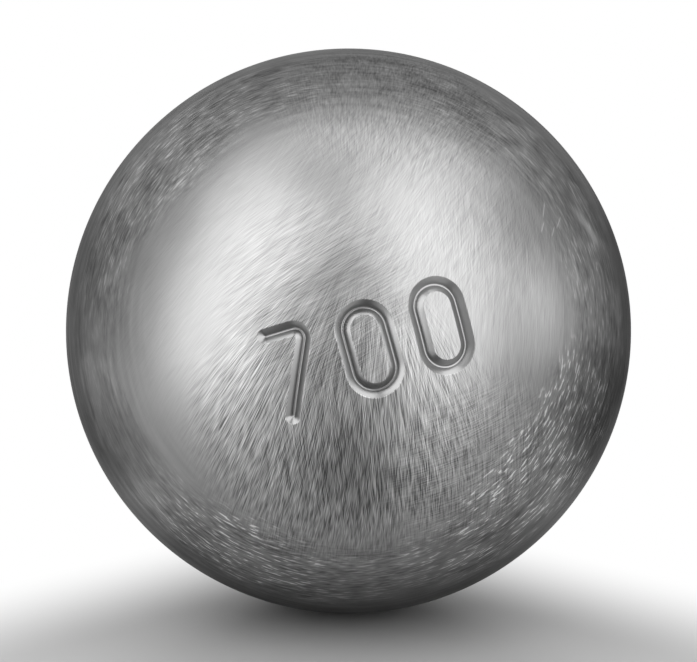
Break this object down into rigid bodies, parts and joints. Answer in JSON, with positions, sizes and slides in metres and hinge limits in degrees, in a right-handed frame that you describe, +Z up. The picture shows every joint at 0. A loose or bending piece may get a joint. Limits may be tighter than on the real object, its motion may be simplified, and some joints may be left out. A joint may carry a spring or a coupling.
{
  "type": "petanque boule",
  "caption": "Hollow steel petanque ball of pressed half shells, centred by a turned spigot and joined by a flush seam weld, for throwing and rolling.",
  "frame": {"origin": "centre of the ball", "axes": "+Z up; the half shells share the Y axis and meet in the plane Y = 0, with the pole of the marked half shell at -Y, facing the viewer of the picture"},
  "size_m": [0.074, 0.074, 0.074],
  "materials": {
    "satin_steel": "satin",
    "weld_steel": "satin"
  },
  "bodies": {
    "root": {"marked_half_shell": "satin_steel", "plain_half_shell": "satin_steel", "seam_weld": "weld_steel"}
  },
  "joints": []
}
